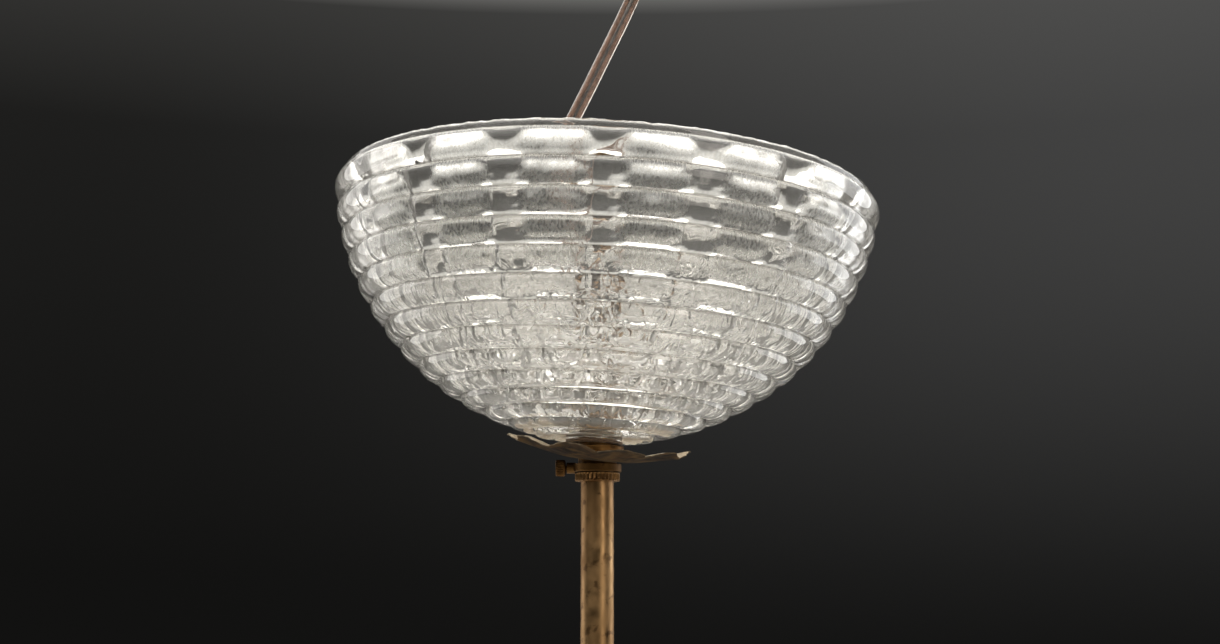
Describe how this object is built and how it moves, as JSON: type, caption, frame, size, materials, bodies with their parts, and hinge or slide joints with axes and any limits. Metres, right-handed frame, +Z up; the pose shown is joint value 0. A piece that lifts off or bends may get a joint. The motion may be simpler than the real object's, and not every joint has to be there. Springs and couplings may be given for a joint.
{
  "type": "pendant ceiling light",
  "caption": "Pendant light: ribbed clear glass canopy bowl on a brass stem with petal cup, stop collar, clear twin flex to a ceiling fitting and a lampholder below.",
  "frame": {"origin": "middle of the ceiling bracket's flat top face, which lies on the ceiling, straight above the stem", "axes": "+Z up along the stem, +X to the right as the light is seen from the front, +Y away from the viewer"},
  "size_m": [0.2019, 0.2022, 0.4345],
  "materials": {
    "aged_brass": "aged and lacquer-worn, brown spots and a soft satin shine",
    "dark_brass": "darkened brass, nearly brown",
    "clear_glass": "clear mould-blown glass with seeds and swirls",
    "bulb_glass": "thin clear lamp glass",
    "clear_flex": "clear PVC over two copper cores",
    "felt": "brown pressed felt",
    "porcelain": "glazed white",
    "steel": "plated steel",
    "white_plastic": "moulded, slightly yellowed",
    "black_glass": "black glass insulator",
    "tungsten": "dull grey wire",
    "core_brown": "brown insulation",
    "core_blue": "blue insulation"
  },
  "bodies": {
    "stem": {"ceiling_bracket": "steel", "ceiling_cup": "aged_brass", "cup_screw_1": "aged_brass", "cup_screw_2": "aged_brass", "cord_grip_body": "white_plastic", "cord_grip_cap": "white_plastic", "cord_grip_nut": "steel", "terminal_block": "white_plastic", "terminal_screw_1": "steel", "terminal_screw_2": "steel", "tail_core_1": "core_brown", "tail_core_2": "core_blue", "flex_tail": "clear_flex", "flex_lead": "clear_flex", "flex_in_stem": "clear_flex", "stem_tube": "aged_brass", "stem_top_bush": "aged_brass", "holder_nipple": "aged_brass", "holder_locknut": "aged_brass", "holder_core_1": "core_brown", "holder_core_2": "core_blue", "lampholder_cap": "aged_brass", "lampholder_insert": "porcelain", "screw_shell": "aged_brass", "centre_contact": "aged_brass"},
    "loop": {"hang_loop": "aged_brass"},
    "canopy": {"stop_collar": "dark_brass", "neck_sleeve": "dark_brass"},
    "thumb_screw": {"thumb_screw": "dark_brass"},
    "petal_cup": {"petal_cup": "aged_brass"},
    "lock_ring": {"knurled_ring": "aged_brass"},
    "ring_nut": {"inner_ring_nut": "aged_brass"},
    "seat": {"seat_washer": "felt", "inner_washer": "felt"},
    "bowl": {"glass_bowl": "clear_glass"},
    "holder_skirt": {"lampholder_shell": "aged_brass"},
    "shade_ring": {"holder_ring": "aged_brass"},
    "bulb": {"bulb_contact": "steel", "bulb_insulator": "black_glass", "bulb_cap": "steel", "bulb_glass": "bulb_glass", "bulb_stem": "bulb_glass", "lead_wire_1": "steel", "lead_wire_2": "steel", "filament": "tungsten"}
  },
  "joints": [
    {"name": "loop_swing", "type": "hinge", "parent": "stem", "child": "loop", "pos_m": [0, 0, -0.1795], "axis": [0, 1, 0], "range_deg": [-140, 0]},
    {"name": "canopy_slide", "type": "slide", "parent": "stem", "child": "canopy", "axis": [0, 0, -1], "range_m": [0, 0.09]},
    {"name": "thumb_screw_turn", "type": "hinge", "parent": "canopy", "child": "thumb_screw", "pos_m": [-0.01, 0, -0.22765], "axis": [1, 0, 0], "continuous": true},
    {"name": "petal_cup_turn", "type": "hinge", "parent": "canopy", "child": "petal_cup", "pos_m": [0, 0, -0.22434], "axis": [0.109, -0.1132, 0.9876], "continuous": true},
    {"name": "lock_ring_turn", "type": "hinge", "parent": "canopy", "child": "lock_ring", "pos_m": [0, 0, -0.231], "axis": [0, 0, 1], "continuous": true},
    {"name": "ring_nut_turn", "type": "hinge", "parent": "canopy", "child": "ring_nut", "pos_m": [0, 0, -0.208], "axis": [0, 0, 1], "continuous": true},
    {"name": "bowl_rock", "type": "hinge", "parent": "canopy", "child": "seat", "pos_m": [0, 0, -0.196], "axis": [0, 1, 0], "range_deg": [-3.1, 0]},
    {"name": "bowl_turn", "type": "hinge", "parent": "seat", "child": "bowl", "pos_m": [0, 0, -0.196], "axis": [0.0541, 0, 0.9985], "continuous": true},
    {"name": "holder_skirt_turn", "type": "hinge", "parent": "stem", "child": "holder_skirt", "pos_m": [0, 0, -0.37], "axis": [0, 0, 1], "continuous": true},
    {"name": "shade_ring_turn", "type": "hinge", "parent": "holder_skirt", "child": "shade_ring", "pos_m": [0, 0, -0.367], "axis": [0, 0, 1], "continuous": true},
    {"name": "bulb_turn", "type": "hinge", "parent": "stem", "child": "bulb", "pos_m": [0, 0, -0.38], "axis": [0, 0, 1], "continuous": true}
  ]
}
